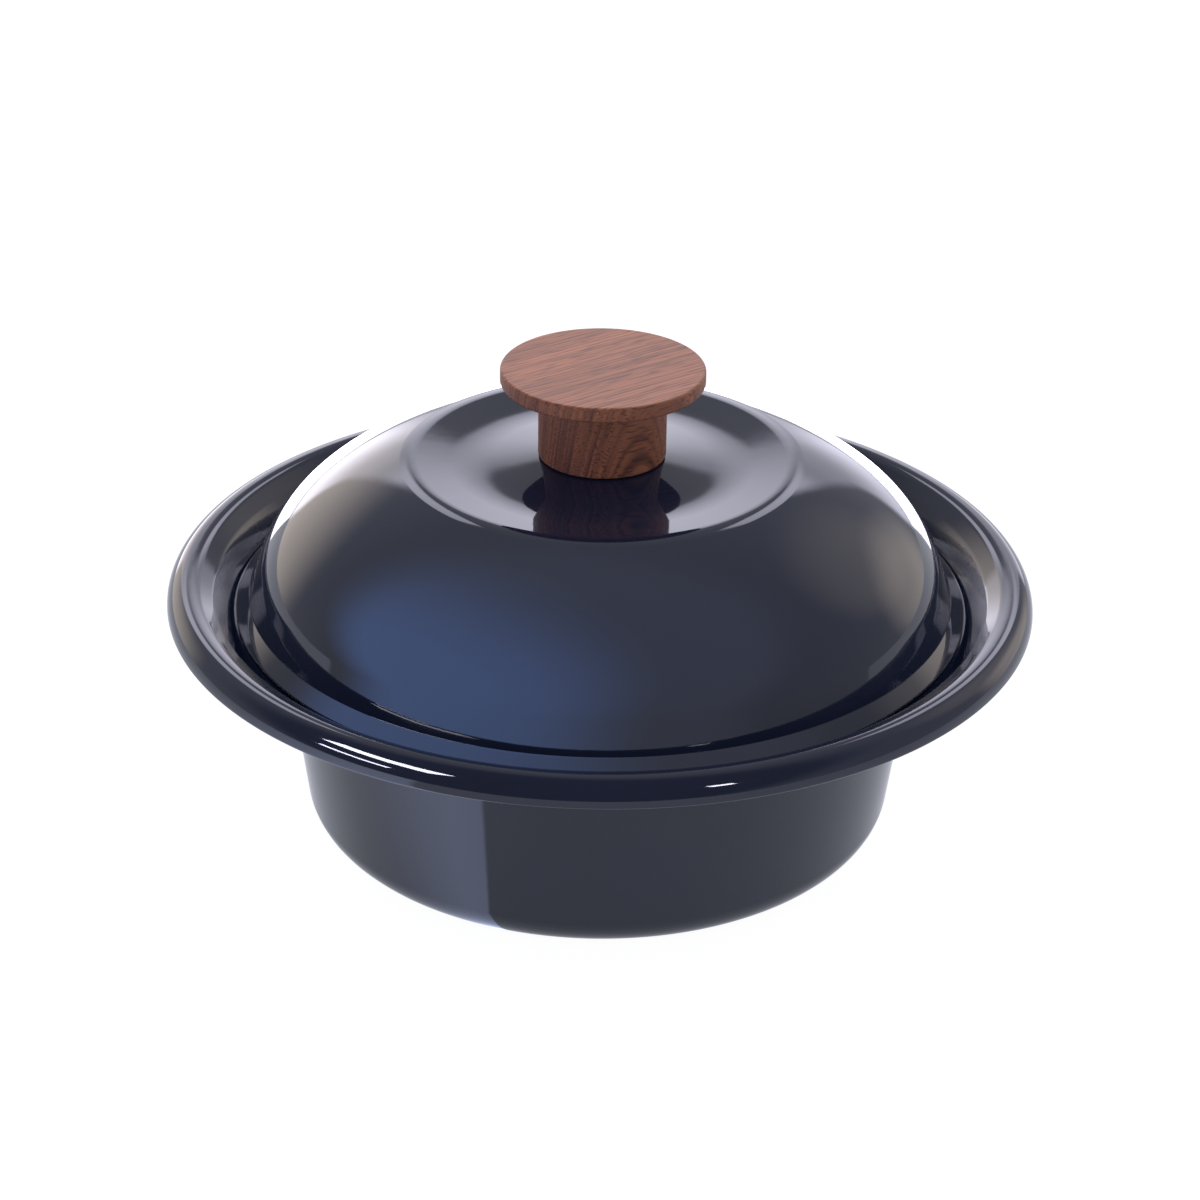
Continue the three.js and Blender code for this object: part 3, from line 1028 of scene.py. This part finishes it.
def add_painted_reflector(look, lights):
    """Adds a pale fabric dome over the camera that glows with painted light, with a cool painted glow where
    a window shines on it.

    It is meant for the lid. The pot sees the dark of the studio in its place.
    """
    shell = bmesh.new()
    bmesh.ops.create_uvsphere(shell, u_segments=64, v_segments=32, radius=PAINTED_REFLECTOR_RADIUS)
    reflector = new_object("reflector", shell)
    reflector.visible_camera = False
    reflector.visible_diffuse = False
    reflector.visible_shadow = False
    reflector.light_linking.receiver_collection = lights

    material, tree, place_on = new_material("painted_light_reflector")
    material.cycles.emission_sampling = "NONE"
    reflector.data.materials.append(material)
    outwards = add_node(tree, "ShaderNodeVectorMath", {0: place_on}, operation="NORMALIZE").outputs["Vector"]
    towards_camera = add_node(
        tree, "ShaderNodeVectorMath", {0: outwards, 1: direction(-160, 45)}, operation="DOT_PRODUCT"
    )
    cover = add_node(
        tree,
        "ShaderNodeMapRange",
        {"Value": towards_camera.outputs["Value"], "From Min": 0.25, "From Max": 0.6, "To Max": 0.7},
        interpolation_type="SMOOTHSTEP",
    )
    # Painted light: the dome glows as emission, with a painted patch of window light on it
    cloth = add_node(tree, "ShaderNodeEmission", {"Color": look.cloth, "Strength": look.painted_cloth_level})
    light = cloth.outputs["Emission"]
    window = direction(-122, 22)
    light = add_glow(
        tree, "ShaderNodeEmission", outwards, light, window, 73, 0, look.painted_window_level, look.window
    )
    clear = add_node(tree, "ShaderNodeBsdfTransparent")
    surface = add_node(
        tree, "ShaderNodeMixShader", {0: cover.outputs["Result"], 1: clear.outputs["BSDF"], 2: light}
    )
    add_node(tree, "ShaderNodeOutputMaterial", {"Surface": surface.outputs["Shader"]})


def softbox_shine(tree, ray, look):
    """Strength of the light of the large softbox behind the pot.

    It is a panel between two taller wings, which are brighter at their feet and heads. The sides lean out
    towards the floor.
    """
    axes = add_node(tree, "ShaderNodeSeparateXYZ", {0: ray})
    azimuth = add_node(
        tree, "ShaderNodeMath", {0: axes.outputs["X"], 1: axes.outputs["Y"]}, operation="ARCTAN2"
    )
    aside = add_node(tree, "ShaderNodeMath", {0: azimuth.outputs["Value"]}, operation="ABSOLUTE")
    elevation = add_node(tree, "ShaderNodeMath", {0: axes.outputs["Z"]}, operation="ARCSINE")
    blur = math.radians(1.5)
    low = add_node(
        tree,
        "ShaderNodeMapRange",
        {"Value": elevation.outputs["Value"], "From Min": look.back_top / 2, "From Max": 0.0},
        interpolation_type="SMOOTHSTEP",
    )
    edge = add_node(
        tree,
        "ShaderNodeMath",
        {0: low.outputs["Result"], 1: look.back_flare, 2: look.back_width},
        operation="MULTIPLY_ADD",
    )
    beyond = add_node(
        tree, "ShaderNodeMath", {0: aside.outputs["Value"], 1: edge.outputs["Value"]}, operation="SUBTRACT"
    )
    across = add_node(
        tree,
        "ShaderNodeMapRange",
        {"Value": beyond.outputs["Value"], "From Min": blur, "From Max": -blur},
        interpolation_type="SMOOTHSTEP",
    )
    wing = add_node(
        tree,
        "ShaderNodeMapRange",
        {
            "Value": aside.outputs["Value"],
            "From Min": look.back_width * 0.4,
            "From Max": look.back_width * 0.65,
        },
        interpolation_type="SMOOTHSTEP",
    )
    rim = add_node(
        tree,
        "ShaderNodeMath",
        {0: wing.outputs["Result"], 1: look.wing_top - look.back_top, 2: look.back_top},
        operation="MULTIPLY_ADD",
    )
    above = add_node(
        tree,
        "ShaderNodeMath",
        {0: elevation.outputs["Value"], 1: rim.outputs["Value"]},
        operation="SUBTRACT",
    )
    below_top = add_node(
        tree,
        "ShaderNodeMapRange",
        {"Value": above.outputs["Value"], "From Min": blur, "From Max": -blur},
        interpolation_type="SMOOTHSTEP",
    )
    foot_level = add_node(
        tree,
        "ShaderNodeMapRange",
        {
            "Value": azimuth.outputs["Value"],
            "From Min": -look.back_width,
            "From Max": look.back_width,
            "To Min": look.back_low,
            "To Max": look.back_low * 0.5,
        },
    )
    foot = add_node(
        tree,
        "ShaderNodeMath",
        {0: low.outputs["Result"], 1: foot_level.outputs["Result"]},
        operation="MULTIPLY",
    )
    head = add_node(
        tree,
        "ShaderNodeMapRange",
        {
            "Value": elevation.outputs["Value"],
            "From Min": look.back_top * 0.7,
            "From Max": look.back_top * 1.1,
            "To Max": look.wing_level,
        },
        interpolation_type="SMOOTHSTEP",
    )
    ends = add_node(
        tree, "ShaderNodeMath", {0: foot.outputs["Value"], 1: head.outputs["Result"]}, operation="ADD"
    )
    level = add_node(
        tree,
        "ShaderNodeMath",
        {0: wing.outputs["Result"], 1: ends.outputs["Value"], 2: look.back_level},
        operation="MULTIPLY_ADD",
    )
    inside = add_node(
        tree,
        "ShaderNodeMath",
        {0: across.outputs["Result"], 1: below_top.outputs["Result"]},
        operation="MULTIPLY",
    )
    return add_node(
        tree, "ShaderNodeMath", {0: inside.outputs["Value"], 1: level.outputs["Value"]}, operation="MULTIPLY"
    ).outputs["Value"]


def set_world(scene, look):
    """Studio walls, white to the camera. The pot sees a pale room, lit from behind and from the sides."""
    world = bpy.data.worlds.new("studio")
    scene.world = world
    world.use_nodes = True
    tree = world.node_tree
    tree.nodes.clear()
    rays = add_node(tree, "ShaderNodeLightPath")
    ray = add_node(tree, "ShaderNodeTexCoord").outputs["Generated"]
    room = add_node(tree, "ShaderNodeBackground", {"Color": look.room, "Strength": look.room_level})
    shine = softbox_shine(tree, ray, look)
    softbox = add_node(tree, "ShaderNodeBackground", {"Color": look.back_colour, "Strength": shine})
    light = add_node(
        tree, "ShaderNodeAddShader", {0: room.outputs["Background"], 1: softbox.outputs["Background"]}
    ).outputs["Shader"]
    # Glows, with all angles in degrees
    for azimuth, elevation, wide, narrow, level, tint in (
        (-1, 15, 15, 2, look.core_level, look.back_colour),
        (50, 8, 22, 4, look.warm_level, look.warm_colour),
        (52, 30, 23, 4, look.warm_level * 0.4, look.warm_colour),
        (-35, 4, 29, 4, look.left_level, look.warm_colour),
    ):
        towards = direction(azimuth, elevation)
        light = add_glow(tree, "ShaderNodeBackground", ray, light, towards, wide, narrow, level, tint)
    white = add_node(tree, "ShaderNodeBackground", {"Color": WHITE, "Strength": 1.0})
    seen = seen_directly(tree, rays)
    surface = add_node(
        tree, "ShaderNodeMixShader", {0: seen, 1: light, 2: white.outputs["Background"]}
    )
    add_node(tree, "ShaderNodeOutputWorld", {"Surface": surface.outputs["Shader"]})


class ENAMELPOT_PT_panel(bpy.types.Panel):
    """Settings and steps of the enamel pot"""

    bl_idname = "ENAMELPOT_PT_panel"
    bl_label = "Enamel Pot"
    bl_space_type = "VIEW_3D"
    bl_region_type = "UI"
    bl_category = "Enamel Pot"

    def draw(self, context):
        settings = context.scene.enamel_pot
        for operator in OPERATORS:
            self.layout.operator(operator.bl_idname)
        sizes = (settings.pot, settings.lid, settings.knob, settings.fixing)
        for group in (*sizes, settings.finishes, settings.stage):
            box = self.layout.box()
            for name in group.bl_rna.properties.keys():
                if name not in ("rna_type", "name"):
                    box.prop(group, name)


GROUPS = (PotSizes, LidSizes, KnobSizes, FixingSizes, Finishes, StageLook, EnamelPot)
OPERATORS = (
    ENAMELPOT_OT_pot,
    ENAMELPOT_OT_lid,
    ENAMELPOT_OT_knob,
    ENAMELPOT_OT_fixing,
    ENAMELPOT_OT_stage,
)
CLASSES = (*GROUPS, *OPERATORS, ENAMELPOT_PT_panel)


def register():
    """Makes the settings, steps and panel known to Blender."""
    for cls in CLASSES:
        bpy.utils.register_class(cls)
    bpy.types.Scene.enamel_pot = bpy.props.PointerProperty(type=EnamelPot)


def unregister():
    """Takes them away again."""
    del bpy.types.Scene.enamel_pot
    for cls in reversed(CLASSES):
        bpy.utils.unregister_class(cls)


def main():
    """Builds the pot piece by piece."""
    register()
    bpy.ops.enamel_pot.pot()
    bpy.ops.enamel_pot.lid()
    bpy.ops.enamel_pot.knob()
    bpy.ops.enamel_pot.fixing()
    bpy.ops.enamel_pot.stage()


if __name__ == "__main__":
    main()
